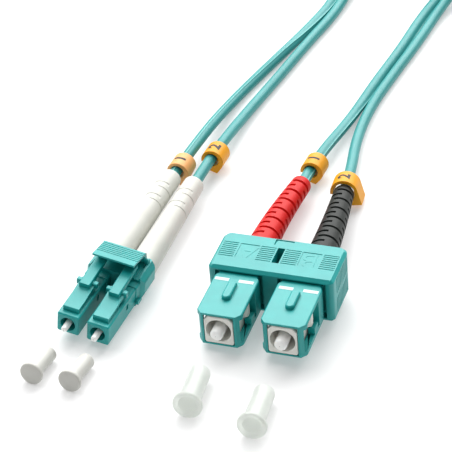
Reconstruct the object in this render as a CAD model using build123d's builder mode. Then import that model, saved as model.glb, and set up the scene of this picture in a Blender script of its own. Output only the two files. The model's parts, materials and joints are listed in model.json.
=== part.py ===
"""Duplex LC to SC fibre patch cord, lying on a surface with its dust caps off.

Millimetres, +Z up, the surface at z = 0. +Y runs along the SC connectors towards
their cables. Each connector head has a frame of its own: x across the pair, y from
the housing's front face towards the cable, z up, and zero on the ferrules' height.
"""

from build123d import *
from math import acos, atan2, cos, degrees, pi, radians, sin, tan
import os

# ---------------------------------------------------------------- driving dimensions
LC_ROLL = 4.2  # the LC head leans this far down to its right, in degrees
SC_ROLL = -4.2  # and the SC head down to its left
LC_YAW = -3.4  # the LC head's turn from the SC head's direction
LC_PITCH = 6.25  # ferrule spacing of a duplex LC
SC_PITCH = 12.7  # and of a duplex SC
LC_FRONT = (-31.8, -6.0)  # where the LC head's front face stands
SC_FRONT = (0.0, 0.0)
ORIGIN = (-13.17, 15.99)  # the middle of the connectors and caps: the part's own zero

LC_BODY = 4.52  # square section of an LC plug
LC_BORE_R = 1.55
LC_LENGTH = 17.0
LC_FERRULE_R = 0.625
LC_GRIP_R = 0.45  # the ferrule's rear, held in its collar
LC_STANDOUT = 1.85  # ferrule tip ahead of the housing's face
LC_FLOAT = 0.9  # how far a ferrule can be pushed back
LC_CLIP = (14.8, 21.3)  # the duplex clip's front and rear
LC_CLIP_HALF_WIDTH = 6.2
LC_CLIP_FOOT = 5.0  # half the width of its flat underside
LC_CLIP_BOTTOM = -3.5
LC_CLIP_ROOF = 3.1  # over the plugs and boots, under the pressed latch tails
TRIGGER_HINGE = (20.0, 3.55)  # y and z of the trigger's hinge line
TRIGGER_PIN_R = 0.3
TRIGGER_HALF_WIDTH = 4.4
LC_BOOT = (18.4, 51.4)  # the boot's front and rear
LC_BOOT_R = (2.85, 2.2)

SC_BODY = (9.0, 7.4)  # width and height of the push-pull sleeve
SC_FRAME = (5.8, 6.3)  # width and height of the plug frame inside it
SC_BORE_R = 2.5
SC_LENGTH = 22.6  # of the push-pull sleeve
SC_FERRULE_R = 1.25
SC_GRIP_R = 1.05
SC_STANDOUT = 1.9
SC_FLOAT = 1.0
SC_PULL = 1.6  # travel of the push-pull sleeve
SC_CLIP = (13.0, 24.65)
SC_CLIP_HALF_WIDTH = 12.65
SC_CLIP_TOP = 4.95
SC_CLIP_BOTTOM = -5.0
SC_BOOT = (24.3, 53.0)
SC_BOOT_R = (3.05, 2.15)

CABLE_R = 1.2  # each leg of the 2.4 mm zip cord
BUFFER_R = 0.45  # the 900 micron buffered fibre
MARKER_LENGTH = 4.4  # of a snap-on number ring
BOOT_GRIP = 6.0  # how far the jacket reaches into the boot

COIL_CENTRE = (-7.75, 161.6)
COIL_MID_R = 14.3
COIL_LAYERS = 4  # strands across the bundle and up it
STRAND_PITCH = 2.45
COIL_BASE = 0.6  # the tie below holds the coil this far off the surface

CAP_LENGTHS = {"lc": 7.8, "sc": 10.8}
LC_CAP = {"flange_r": 2.3, "tube_r": 1.6, "bore_r": 0.64, "depth": 6.0}
SC_CAP = {"flange_r": 2.87, "tube_r": 2.05, "bore_r": 1.27, "depth": 8.6}
CAP_FLANGE = 1.0
LC_CAPS = [((-37.0, -19.6), 5.0), ((-29.4, -19.3), 4.9)]  # face centre, yaw
SC_CAPS = [((-6.1, -19.2), -5.3), ((6.8, -20.8), -3.8)]

RUNNING = 0.05  # radial clearance of a sliding fit

os.makedirs("parts", exist_ok=True)


def save(builder, name):
    """Label a finished sub-part and write its STEP file, measured from ORIGIN."""
    shape = builder.part.moved(Location((-ORIGIN[0], -ORIGIN[1], 0)))
    shape.label = name
    export_step(shape, f"parts/{name}.step")


# ---------------------------------------------------------------- head frames
def head_frame(front, height, yaw, roll):
    """A head's plane: x across, y towards the cable, z up, after yaw and roll."""
    turn = Location((front[0], front[1], height), (0, 0, yaw))
    lean = Location((0, 0, 0), (0, roll, 0))
    return Plane(turn * lean)


LC_HEIGHT = 0.01 - LC_CLIP_BOTTOM * cos(radians(LC_ROLL)) + LC_CLIP_FOOT * sin(
    radians(LC_ROLL)
)
SC_HEIGHT = 0.01 - SC_CLIP_BOTTOM * cos(radians(SC_ROLL)) + (
    SC_CLIP_HALF_WIDTH - 0.3
) * sin(radians(-SC_ROLL))
LC = head_frame(LC_FRONT, LC_HEIGHT, LC_YAW, LC_ROLL)
SC = head_frame(SC_FRONT, SC_HEIGHT, 0, SC_ROLL)


def section(head, x, y, z=0.0):
    """A plane across the connector that faces forwards, so -amount goes rearwards."""
    return Plane(
        origin=head.from_local_coords((x, y, z)), x_dir=head.x_dir, z_dir=-head.y_dir
    )


def side(head, x):
    """A plane along the connector: sketch x is the head's y, and it faces across."""
    return Plane(
        origin=head.from_local_coords((x, 0, 0)), x_dir=head.y_dir, z_dir=head.x_dir
    )


def level(head, z, x=0.0):
    """A plane at a height in the head: sketch x and y are the head's own."""
    return Plane(
        origin=head.from_local_coords((x, 0, z)), x_dir=head.x_dir, z_dir=head.z_dir
    )


def tube(name, head, x, start, end, outer_r, inner_r):
    """A plain round sleeve on a connector's axis."""
    with BuildPart() as sleeve:
        with BuildSketch(section(head, x, start)):
            Circle(outer_r)
            if inner_r:
                Circle(inner_r, mode=Mode.SUBTRACT)
        extrude(amount=start - end)
    save(sleeve, name)


def ferrule(name, head, x, radius, tip, shoulder, grip_r, rear):
    """A ceramic ferrule with a chamfered tip, thinner behind its shoulder for the collar."""
    with BuildPart() as pin:
        with BuildSketch(section(head, x, tip)):
            Circle(radius)
        extrude(amount=tip - shoulder)
        tip_edge = pin.edges().sort_by(Axis(pin.part.center(), -head.y_dir))[-1]
        chamfer(tip_edge, length=radius * 0.28)
        with BuildSketch(section(head, x, shoulder)):
            Circle(grip_r)
        extrude(amount=shoulder - rear)
    save(pin, name)


def flange(name, head, x, bore_r, collar_r, barrel_r, start, rear):
    """The metal collar that holds a ferrule: a hexagon in front of a barrel."""
    collar_length = 1.4
    with BuildPart() as holder:
        with BuildSketch(section(head, x, start)):
            RegularPolygon(collar_r, 6)
        extrude(amount=-collar_length)
        with BuildSketch(section(head, x, start + collar_length)):
            Circle(barrel_r)
        extrude(amount=start + collar_length - rear)
        with BuildSketch(section(head, x, start)):
            Circle(bore_r)
        extrude(amount=start - rear, mode=Mode.SUBTRACT)
    save(holder, name)


def coil_spring(name, head, x, start, end, mean_r, wire_r, turns):
    """A round-wire compression spring on a connector's axis."""
    free = end - start - 2 * wire_r
    foot = head.from_local_coords((x, start + wire_r, 0))
    with BuildPart() as spring:
        with BuildLine():
            helix = Helix(free / turns, free, mean_r, center=foot, direction=head.y_dir)
        with BuildSketch(Plane(origin=helix @ 0, z_dir=helix % 0)):
            Circle(wire_r)
        sweep(path=helix, is_frenet=True)
    save(spring, name)


# ---------------------------------------------------------------- LC connectors
def lc_housing(name, x):
    """The square LC plug body, with a collar and a lug on each side at its rear."""
    cavity_r = 1.75
    with BuildPart() as body:
        with BuildSketch(section(LC, x, 0)) as outline:
            Rectangle(LC_BODY, LC_BODY)
            chamfer(outline.vertices(), length=0.25)
        extrude(amount=-LC_LENGTH)
        front = body.faces().sort_by(Axis(LC.origin, -LC.y_dir))[-1]
        chamfer(front.edges(), length=0.22)
        with BuildSketch(section(LC, x, 12.9)) as collar:
            Rectangle(LC_BODY + 0.3, LC_BODY + 0.3)
            chamfer(collar.vertices(), length=0.3)
        extrude(amount=-1.85)
        for way in (-1, 1):
            with BuildSketch(side(LC, x + way * 2.1)):
                with Locations((13.4, -1.05)):
                    Rectangle(1.0, 0.6)
            extrude(amount=way * 0.6)
            with BuildSketch(side(LC, x + way * 2.56)) as bar:
                with Locations((13.4, -1.05)):
                    Rectangle(1.9, 0.85)
                fillet(bar.vertices(), radius=0.3)
            extrude(amount=way * 0.5)
        with BuildSketch(section(LC, x, 0)):
            Circle(LC_BORE_R)
        extrude(amount=-5.2, mode=Mode.SUBTRACT)
        with BuildSketch(section(LC, x, 0)):
            Circle(LC_FERRULE_R + 0.2)
        extrude(amount=-LC_LENGTH, mode=Mode.SUBTRACT)
        with BuildSketch(section(LC, x, 6.0)):
            Circle(cavity_r)
        extrude(amount=6.0 - LC_LENGTH, mode=Mode.SUBTRACT)
        with BuildSketch(side(LC, x - LC_BODY)):
            with Locations((9.0, 0.55)):
                SlotOverall(1.5, 0.9, rotation=90)
        extrude(amount=2 * LC_BODY, mode=Mode.SUBTRACT)
    save(body, name)


def lc_latch(name, x):
    """The LC latch arm: a root block, a sloping leaf, two catch pegs and a raised tail."""
    root, tail = 1.3, 16.3
    with BuildPart() as latch:
        with BuildSketch(side(LC, x - 1.64)):
            with BuildLine():
                Polyline(
                    (root, 3.0),
                    (root + 0.15, 3.2),
                    (4.3, 3.18),
                    (7.35, 3.62),
                    (9.9, 3.9),
                    (9.9, 3.1),
                    (7.35, 2.85),
                    (4.5, 2.6),
                    (2.9, 2.45),
                    (2.0, 2.3),
                    (root, 2.3),
                    close=True,
                )
            make_face()
        extrude(amount=3.28)
        with BuildSketch(side(LC, x - 1.12)):
            with BuildLine():
                Polyline(
                    (7.3, 3.2),
                    (7.3, 4.62),
                    (14.9, 5.1),
                    (tail, 5.15),
                    (tail, 4.55),
                    (9.9, 3.6),
                    (8.5, 3.2),
                    close=True,
                )
            make_face()
        extrude(amount=2.24)
        with BuildSketch(side(LC, x - 2.15)):
            with BuildLine():
                Polyline(
                    (8.45, 3.1), (8.45, 4.05), (8.65, 4.2), (9.4, 4.2), (9.4, 3.1),
                    close=True,
                )
            make_face()
        extrude(amount=4.3)
        top_edges = latch.edges().filter_by(
            lambda edge: edge.length > 1.0
            and LC.to_local_coords(edge.center()).Z > 4.7
            and abs(LC.to_local_coords(edge.center()).X - x) > 1.0
        )
        chamfer(top_edges, length=0.15)
    save(latch, name)


def lc_rear_body(name, x):
    """The sleeve that closes an LC plug behind the spring, and carries the crimp."""
    with BuildPart() as body:
        with BuildSketch(section(LC, x, 14.6)):
            Circle(1.72)
        extrude(amount=14.6 - LC_LENGTH)
        with BuildSketch(section(LC, x, LC_LENGTH)):
            Rectangle(3.6, 3.6)
        extrude(amount=-1.3)
        with BuildSketch(section(LC, x, LC_LENGTH + 1.3)):
            Circle(1.3)
        extrude(amount=-4.0)
        with BuildSketch(section(LC, x, 14.6)):
            Circle(1.08)
        extrude(amount=-8.0, mode=Mode.SUBTRACT)
    save(body, name)


def boot(name, base, length, radii, rings, ring_start, ring_pitch, spans, bores):
    """A tapered strain relief on its own plane, with flexing slots round it.

    Each ring is a slot cut part of the way round, and the next one is turned, so that
    the boot bends like a chain. bores are (radius, end) steps from the front.
    """
    slot_width, slot_depth = 0.42, 0.62
    rear_round = 0.5
    with BuildPart() as relief:
        with BuildSketch(Plane(base.origin, x_dir=base.x_dir, z_dir=base.y_dir)):
            with BuildLine():
                Polyline(
                    (0, 0),
                    (radii[0] - 0.3, 0),
                    (radii[0], 0.3),
                    (radii[0], 2.0),
                    (radii[1], length - rear_round),
                    (radii[1] - rear_round, length),
                    (0, length),
                    close=True,
                )
            make_face()
        revolve(axis=Axis(base.origin, -base.z_dir))
        start = 0.0
        for bore_r, end in bores:
            with BuildSketch(base.offset(-start)):
                Circle(bore_r)
            extrude(amount=start - end, mode=Mode.SUBTRACT)
            start = end
        for ring in range(rings):
            place = ring_start + ring * ring_pitch
            share = (place - 2.0) / (length - 2.5)
            outer = radii[0] + (radii[1] - radii[0]) * share
            turns = spans[ring % len(spans)]
            for middle, arc in turns:
                first = radians(middle - arc / 2)
                inner = outer - slot_depth
                x_dir = base.x_dir * cos(first) + base.y_dir * sin(first)
                with BuildSketch(
                    Plane(
                        base.origin,
                        x_dir=x_dir,
                        z_dir=base.z_dir.cross(x_dir),
                    )
                ):
                    with Locations(((inner + outer + 0.3) / 2, -place)):
                        Rectangle(outer + 0.3 - inner, slot_width)
                revolve(
                    axis=Axis(base.origin, base.z_dir),
                    revolution_arc=arc,
                    mode=Mode.SUBTRACT,
                )
    save(relief, name)
    return base


def boot_plane(head, x, y, inward, down):
    """The plane at a boot's front: its axis turns across and dips, in degrees."""
    rear = (
        head.y_dir * cos(radians(inward)) * cos(radians(down))
        + head.x_dir * sin(radians(inward)) * cos(radians(down))
        - head.z_dir * sin(radians(down))
    )
    across = head.x_dir - rear * head.x_dir.dot(rear)
    return Plane(
        origin=head.from_local_coords((x, y, 0)), x_dir=across, z_dir=rear * -1
    )


LC_BOOT_TURNS = {"1": (0.0, 0.0), "2": (-1.9, 0.0)}
SC_BOOT_TURNS = {"1": (1.5, 4.4), "2": (-5.5, 5.9)}
LC_SLOTS = [[(128, 120)], [(44, 110)]]
SC_SLOTS = [[(150, 120), (330, 120)], [(60, 120), (240, 120)]]

lc_boots = {}
for number, x in (("1", -LC_PITCH / 2), ("2", LC_PITCH / 2)):
    lc_housing(f"lc_housing_{number}", x)
    lc_latch(f"lc_latch_{number}", x)
    ferrule(f"lc_ferrule_{number}", LC, x, LC_FERRULE_R, -LC_STANDOUT, 4.2, LC_GRIP_R, 8.6)
    flange(f"lc_flange_{number}", LC, x, LC_GRIP_R, 1.6, 1.0, 6.0, 10.0)
    coil_spring(f"lc_spring_{number}", LC, x, 7.45, 14.6, 1.3, 0.16, 6)
    lc_rear_body(f"lc_rear_body_{number}", x)
    tube(f"lc_crimp_ring_{number}", LC, x, 18.6, 22.4, 1.55, 1.3)
    lc_boots[number] = boot(
        f"lc_boot_{number}",
        boot_plane(LC, x, LC_BOOT[0], *LC_BOOT_TURNS[number]),
        LC_BOOT[1] - LC_BOOT[0],
        LC_BOOT_R,
        rings=4,
        ring_start=20.4,
        ring_pitch=2.1,
        spans=LC_SLOTS,
        bores=[(1.75, 5.6), (CABLE_R, LC_BOOT[1] - LC_BOOT[0])],
    )

# the duplex clip: a saddle round both plugs, with a ridge along each side of its roof
with BuildPart() as lc_clip:
    with BuildSketch(section(LC, 0, LC_CLIP[0])) as outline:
        with BuildLine():
            half = [
                (LC_CLIP_FOOT, LC_CLIP_BOTTOM),
                (LC_CLIP_HALF_WIDTH, -0.9),
                (LC_CLIP_HALF_WIDTH, 1.9),
                (5.35, 3.25),
            ]
            Polyline(*half, *[(-across, up) for across, up in reversed(half)], close=True)
        make_face()
        fillet(outline.vertices().group_by(Axis.Y)[0], radius=0.5)
        fillet(outline.vertices().group_by(Axis.Y)[-2], radius=0.9)
    extrude(amount=LC_CLIP[0] - LC_CLIP[1])
    rear_face = lc_clip.faces().sort_by(Axis(LC.origin, LC.y_dir))[-1]
    lower_edges = rear_face.edges().filter_by(
        lambda edge: LC.to_local_coords(edge.center()).Z < 2.7
    )
    chamfer(lower_edges, length=0.35)
    with BuildSketch(level(LC, LC_CLIP_ROOF)):
        with Locations((0, (LC_CLIP[0] + LC_CLIP[1]) / 2)):
            Rectangle(2 * TRIGGER_HALF_WIDTH + 0.1, LC_CLIP[1] - LC_CLIP[0] + 1)
    extrude(amount=2.0, mode=Mode.SUBTRACT)
    for way in (-1, 1):
        with BuildSketch(level(LC, LC_CLIP_BOTTOM)):
            with BuildLine():
                Polyline(
                    (way * 5.5, LC_CLIP[0] - 0.3),
                    (way * 5.5, LC_CLIP[0]),
                    (way * LC_CLIP_HALF_WIDTH, LC_CLIP[0] + 0.85),
                    (way * 6.5, LC_CLIP[0] + 0.85),
                    (way * 6.5, LC_CLIP[0] - 0.3),
                    close=True,
                )
            make_face()
        extrude(amount=8.0, mode=Mode.SUBTRACT)
        with BuildSketch(level(LC, LC_CLIP_BOTTOM)):
            with BuildLine():
                Polyline(
                    (way * 5.6, LC_CLIP[1] + 0.3),
                    (way * 5.6, LC_CLIP[1]),
                    (way * LC_CLIP_HALF_WIDTH, LC_CLIP[1] - 0.7),
                    (way * 6.5, LC_CLIP[1] - 0.7),
                    (way * 6.5, LC_CLIP[1] + 0.3),
                    close=True,
                )
            make_face()
        extrude(amount=8.0, mode=Mode.SUBTRACT)
        with BuildSketch(level(LC, LC_CLIP_ROOF - 0.3)):
            with BuildLine():
                Polyline(
                    (way * 4.2, LC_CLIP[0] - 0.3),
                    (way * 5.2, LC_CLIP[0] - 0.3),
                    (way * 4.75, 20.3),
                    (way * 4.2, 20.3),
                    close=True,
                )
            make_face()
        extrude(amount=2.0, mode=Mode.SUBTRACT)
        with BuildSketch(side(LC, way * (TRIGGER_HALF_WIDTH + RUNNING))):
            with Locations(TRIGGER_HINGE):
                Circle(0.6)
            with Locations((TRIGGER_HINGE[0], TRIGGER_HINGE[1] - 0.4)):
                Rectangle(1.2, 0.8)
        extrude(amount=way * 0.6)
    with BuildSketch(section(LC, 0, LC_CLIP[0])) as cavity:
        with Locations((-LC_PITCH / 2, 0), (LC_PITCH / 2, 0)):
            Rectangle(LC_BODY + 0.04, LC_BODY + 0.04)
        chamfer(cavity.vertices(), length=0.23)
    extrude(amount=LC_CLIP[0] - LC_LENGTH - 1.4, mode=Mode.SUBTRACT)
    with BuildSketch(section(LC, 0, LC_LENGTH)):
        with Locations((-LC_PITCH / 2, 0), (LC_PITCH / 2, 0)):
            Circle(LC_BOOT_R[0] + 0.08)
    extrude(amount=LC_LENGTH - LC_CLIP[1], mode=Mode.SUBTRACT)
    with BuildSketch(side(LC, -5.4)):
        with Locations(TRIGGER_HINGE):
            Circle(TRIGGER_PIN_R + RUNNING)
    extrude(amount=10.8, mode=Mode.SUBTRACT)
save(lc_clip, "lc_clip")

# the trigger: a ribbed thumb plate that slopes up to the front from its hinge, low in
# the clip, with a pad under it over each latch tail
PLATE_FRONT, PLATE_REAR = (13.7, 7.05), (19.5, 5.97)
with BuildPart() as lc_trigger:
    with BuildSketch(side(LC, -TRIGGER_HALF_WIDTH)) as profile:
        with BuildLine():
            Polyline(
                (13.6, 6.8),
                PLATE_FRONT,
                PLATE_REAR,
                (20.15, 5.4),
                (20.4, 3.75),
                (20.3, 3.22),
                (19.7, 3.22),
                (19.5, 3.7),
                (19.3, 5.05),
                (18.9, 5.5),
                (13.7, 6.58),
                close=True,
            )
        make_face()
        fillet(profile.vertices().sort_by(Axis.Y)[:2], radius=0.18)
    extrude(amount=2 * TRIGGER_HALF_WIDTH)
    slope = (PLATE_REAR[1] - PLATE_FRONT[1]) / (PLATE_REAR[0] - PLATE_FRONT[0])
    groove_places = [
        (15.6 + 0.65 * step, PLATE_FRONT[1] + slope * (1.9 + 0.65 * step)) for step in range(6)
    ]
    with BuildSketch(side(LC, -TRIGGER_HALF_WIDTH - 1)):
        with Locations(*groove_places):
            Rectangle(0.24, 0.18, rotation=degrees(atan2(slope, 1)))
    extrude(amount=2 * TRIGGER_HALF_WIDTH + 2, mode=Mode.SUBTRACT)
    for x in (-LC_PITCH / 2, LC_PITCH / 2):
        with BuildSketch(side(LC, x - 0.8)):
            with BuildLine():
                Polyline((15.2, 5.28), (15.2, 6.4), (15.9, 6.3), (15.9, 5.32), close=True)
            make_face()
        extrude(amount=1.6)
    with BuildSketch(side(LC, -5.05)):
        with Locations(TRIGGER_HINGE):
            Circle(TRIGGER_PIN_R)
    extrude(amount=10.1)
save(lc_trigger, "lc_trigger")

# ---------------------------------------------------------------- SC connectors
SC_SIDES = (("1", -SC_PITCH / 2), ("2", SC_PITCH / 2))


def sc_outer_housing(name, x):
    """The push-pull sleeve: key on top, an open window with a stop block in each side."""
    width, height = SC_BODY
    waist = 12.6
    with BuildPart() as sleeve:
        with BuildSketch(level(SC, -height / 2, x)) as plan:
            with BuildLine():
                Polyline(
                    (-width / 2 + 1.05, 0),
                    (width / 2 - 1.05, 0),
                    (width / 2, 1.25),
                    (width / 2, waist - 0.7),
                    (width / 2 - 0.5, waist),
                    (width / 2 - 0.5, SC_LENGTH),
                    (-width / 2 + 0.5, SC_LENGTH),
                    (-width / 2 + 0.5, waist),
                    (-width / 2, waist - 0.7),
                    (-width / 2, 1.25),
                    close=True,
                )
            make_face()
        extrude(amount=height)
        long_edges = sleeve.edges().filter_by(
            lambda edge: edge.length > 8 and abs(edge.tangent_at(0.5).dot(SC.y_dir)) > 0.99
        )
        chamfer(long_edges, length=0.22)
        with BuildSketch(level(SC, height / 2 - 0.1, x)) as key:
            with Locations((0, 7.1)):
                SlotOverall(5.0, 1.8, rotation=90)
            with Locations((0, 8.6)):
                Rectangle(1.8, 2.0)
        extrude(amount=0.95)
        key_top = sleeve.faces().sort_by(Axis(SC.origin, SC.z_dir))[-1]
        chamfer(key_top.edges(), length=0.25)
        with BuildSketch(section(SC, x, 0)):
            Rectangle(SC_FRAME[0] + 0.2, SC_FRAME[1] + 0.2)
        extrude(amount=-SC_LENGTH, mode=Mode.SUBTRACT)
        with BuildSketch(side(SC, x - width)) as window:
            with BuildLine():
                Polyline(
                    (0.75, -2.5), (0.75, 2.5), (1.7, 2.5), (2.2, 3.1), (9.2, 3.1), (9.2, -2.5),
                    close=True,
                )
            make_face()
        extrude(amount=2 * width, mode=Mode.SUBTRACT)
        for way in (-1, 1):
            with BuildSketch(side(SC, x + way * (SC_FRAME[0] / 2 + 0.2))):
                with Locations((7.1, -1.9)):
                    Rectangle(2.2, 1.6)
            extrude(amount=way * (width / 2 - SC_FRAME[0] / 2 - 0.2))
    save(sleeve, name)


def sc_plug_frame(name, x):
    """The fixed white frame that holds the ferrule; its shoulders show in the windows."""
    width, height = SC_FRAME
    front, rear = -0.15, 19.5
    with BuildPart() as frame:
        with BuildSketch(section(SC, x, front)) as outline:
            Rectangle(width, height)
            chamfer(outline.vertices().group_by(Axis.Y)[-1], length=0.9)
            chamfer(outline.vertices().group_by(Axis.Y)[0], length=0.3)
        extrude(amount=front - rear)
        front_face = frame.faces().sort_by(Axis(SC.origin, -SC.y_dir))[-1]
        chamfer(front_face.edges(), length=0.15)
        for way in (-1, 1):
            with BuildSketch(level(SC, -0.9, x)):
                with BuildLine():
                    Polyline(
                        (way * (width / 2 - 0.2), 5.4),
                        (way * (width / 2 + 0.95), 6.3),
                        (way * (width / 2 + 0.95), 7.4),
                        (way * (width / 2 - 0.2), 7.4),
                        close=True,
                    )
                make_face()
            extrude(amount=2.8)
        with BuildSketch(section(SC, x, front)):
            Circle(SC_BORE_R)
        extrude(amount=front - 8.6, mode=Mode.SUBTRACT)
        with BuildSketch(section(SC, x, front)):
            Circle(SC_FERRULE_R + 0.25)
        extrude(amount=front - rear, mode=Mode.SUBTRACT)
        with BuildSketch(section(SC, x, 9.6)):
            Circle(2.45)
        extrude(amount=9.6 - rear, mode=Mode.SUBTRACT)
    save(frame, name)


def sc_rear_body(name, x):
    """The stop ring that closes the plug frame behind the spring."""
    with BuildPart() as body:
        with BuildSketch(section(SC, x, 17.3)):
            Circle(2.42)
        extrude(amount=-2.2)
        with BuildSketch(section(SC, x, 19.5)):
            Rectangle(5.2, 5.2)
        extrude(amount=-1.5)
        with BuildSketch(section(SC, x, 21.0)):
            Circle(1.75)
        extrude(amount=-5.7)
        with BuildSketch(section(SC, x, 17.3)):
            Circle(1.45)
        extrude(amount=-11.0, mode=Mode.SUBTRACT)
    save(body, name)


sc_boots = {}
for number, x in SC_SIDES:
    sc_outer_housing(f"sc_outer_housing_{number}", x)
    sc_plug_frame(f"sc_plug_frame_{number}", x)
    ferrule(f"sc_ferrule_{number}", SC, x, SC_FERRULE_R, -SC_STANDOUT, 7.5, SC_GRIP_R, 12.4)
    flange(f"sc_flange_{number}", SC, x, SC_GRIP_R, 2.3, 1.65, 9.6, 14.2)
    coil_spring(f"sc_spring_{number}", SC, x, 11.05, 17.3, 2.0, 0.2, 5)
    sc_rear_body(f"sc_rear_body_{number}", x)
    tube(f"sc_crimp_ring_{number}", SC, x, 22.0, 27.0, 2.05, 1.75)
    sc_boots[number] = boot(
        f"sc_boot_{number}",
        boot_plane(SC, x, SC_BOOT[0], *SC_BOOT_TURNS[number]),
        SC_BOOT[1] - SC_BOOT[0],
        SC_BOOT_R,
        rings=12,
        ring_start=4.3,
        ring_pitch=2.0,
        spans=SC_SLOTS,
        bores=[(2.43, 3.2), (CABLE_R, SC_BOOT[1] - SC_BOOT[0])],
    )


def sc_clip_half(name, way):
    """Half of the SC duplex clip. way is 1 for the upper half and -1 for the lower."""
    reach = SC_CLIP_TOP if way > 0 else -SC_CLIP_BOTTOM
    middle = (SC_CLIP[0] + SC_CLIP[1]) / 2
    length = SC_CLIP[1] - SC_CLIP[0]
    width, height = SC_BODY
    face = level(SC, way * reach)
    with BuildPart() as half:
        with BuildSketch(level(SC, 0)) as plan:
            with Locations((0, middle)):
                Rectangle(2 * SC_CLIP_HALF_WIDTH, length)
            fillet(plan.vertices().group_by(Axis.Y)[-1], radius=1.7)
            fillet(plan.vertices().group_by(Axis.Y)[0], radius=0.9)
        extrude(amount=way * reach)
        outer_face = half.faces().sort_by(Axis(SC.origin, SC.z_dir * way))[-1]
        chamfer(outer_face.edges(), length=0.6)
        with BuildSketch(section(SC, 0, SC_CLIP[0])):
            with Locations((-SC_PITCH / 2, 0), (SC_PITCH / 2, 0)):
                Rectangle(width - 1, height)
        extrude(amount=SC_CLIP[0] - SC_LENGTH - 0.4, mode=Mode.SUBTRACT)
        with BuildSketch(section(SC, 0, SC_CLIP[0])):
            with Locations((-SC_PITCH / 2, 0), (SC_PITCH / 2, 0)):
                Circle(SC_BOOT_R[0] + 0.35)
        extrude(amount=-length, mode=Mode.SUBTRACT)
        with BuildSketch(section(SC, 0, SC_CLIP[0])):
            with Locations((-SC_PITCH / 2, 0), (SC_PITCH / 2, 0)):
                Rectangle(width + 0.7, height + 0.8)
        extrude(amount=-1.6, mode=Mode.SUBTRACT)
        with BuildSketch(level(SC, 0)):
            with Locations((0, 18.9)):
                Rectangle(1.45, 4.8)
        extrude(amount=way * reach, mode=Mode.SUBTRACT)
        with BuildSketch(face):
            for group in (-10.25, -2.55, 2.55, 10.25):
                grooves = [(group, 16.75 + 0.62 * step) for step in range(8)]
                with Locations(*grooves):
                    Rectangle(3.1, 0.26)
        extrude(amount=-way * 0.1, mode=Mode.SUBTRACT)
        with BuildSketch(face):
            with Locations((-SC_PITCH / 2, 18.95), (SC_PITCH / 2, 18.95)):
                Rectangle(3.9, 4.5)
        extrude(amount=-way * 0.1, mode=Mode.SUBTRACT)
        with BuildSketch(face):
            with Locations((0, 23.75)):
                Rectangle(3.8, 0.36)
            with Locations((-1.72, 23.0)):
                Rectangle(0.36, 1.7)
        extrude(amount=-way * 0.28, mode=Mode.SUBTRACT)
        for edge in (-1, 1):
            with BuildSketch(level(SC, way * 0.5)):
                ribs = [
                    (edge * SC_CLIP_HALF_WIDTH, 15.6 + 0.85 * step) for step in range(9)
                ]
                with Locations(*ribs):
                    Rectangle(0.36, 0.3)
            extrude(amount=way * (reach - 1.4), mode=Mode.SUBTRACT)
    save(half, name)


sc_clip_half("sc_clip_top", 1)
sc_clip_half("sc_clip_bottom", -1)

# ---------------------------------------------------------------- cables
# Each leg runs straight on from its boot for a given distance, then through chosen
# points to the coil, where it becomes part of the outermost layer.
ROUTES = {
    "lc_1": (15.2, [
        (-29.9, 80.5, 1.3), (-26.0, 99.0, 1.2), (-22.5, 114.5, 1.2),
        (-19.9, 130.0, 1.2), (-21.6, 143.5, 1.4),
    ]),
    "lc_2": (4.6, [
        (-26.2, 62.0, 3.2), (-25.3, 77.5, 1.4), (-22.9, 94.0, 1.2),
        (-20.8, 109.5, 1.2), (-18.1, 125.0, 1.2), (-17.8, 138.0, 1.9),
        (-21.3, 146.5, 3.9),
    ]),
    "sc_1": (1.5, [
        (-4.8, 65.4, 3.0), (-2.5, 81.5, 1.8), (-1.4, 97.5, 1.2),
        (0.7, 113.5, 1.2), (1.9, 129.5, 1.2), (5.2, 144.5, 2.2),
    ]),
    "sc_2": (7.0, [
        (0.5, 74.5, 1.4), (0.1, 88.5, 1.2), (1.8, 103.5, 1.2),
        (3.8, 118.5, 1.2), (5.2, 133.5, 1.5), (8.6, 145.5, 4.6),
    ]),
}
COIL_OUTER_R = COIL_MID_R + (COIL_LAYERS - 1) / 2 * STRAND_PITCH
STRAND_Z = [COIL_BASE + CABLE_R + layer * STRAND_PITCH for layer in range(COIL_LAYERS)]
COIL_ENDS = {
    "lc_1": (-1, STRAND_Z[0]),
    "lc_2": (-1, STRAND_Z[2]),
    "sc_1": (1, STRAND_Z[1]),
    "sc_2": (1, STRAND_Z[3]),
}


def cable_points(key, base, boot_length):
    """The whole route of a leg: out of its boot, along the surface, into the coil."""
    clearance, route = ROUTES[key]
    way, height = COIL_ENDS[key]
    edge_x = COIL_CENTRE[0] + way * COIL_OUTER_R
    return [
        base.origin - base.z_dir * (boot_length - BOOT_GRIP),
        base.origin - base.z_dir * (boot_length + clearance),
        *[Vector(*point) for point in route],
        Vector(edge_x - way * 0.25, COIL_CENTRE[1] - 8.0, height - 0.15),
        Vector(edge_x, COIL_CENTRE[1], height),
    ]


def corner_radii(points):
    """The largest arc at each corner of a route that its two runs leave room for."""
    radii = []
    for before, here, after in zip(points, points[1:], points[2:]):
        run_in, run_out = here - before, after - here
        half_turn = radians(run_in.get_angle(run_out)) / 2
        radii.append(0.45 * min(run_in.length, run_out.length) / tan(half_turn))
    return radii


def cable(name, points):
    """One leg of the zip cord: straight runs joined by tangent arcs."""
    radii = corner_radii(points)
    with BuildPart() as leg:
        with BuildLine():
            path = FilletPolyline(*points, radius=radii)
        with BuildSketch(Plane(origin=path @ 0, z_dir=path % 0)):
            Circle(CABLE_R)
        sweep(path=path)
    save(leg, name)
    expected = pi * CABLE_R**2 * path.length
    print(
        f"{name}: length {path.length:.1f}, radii {[round(r) for r in radii]},"
        f" volume {leg.part.volume / expected:.4f} of section times length"
    )
    return path.length


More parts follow.
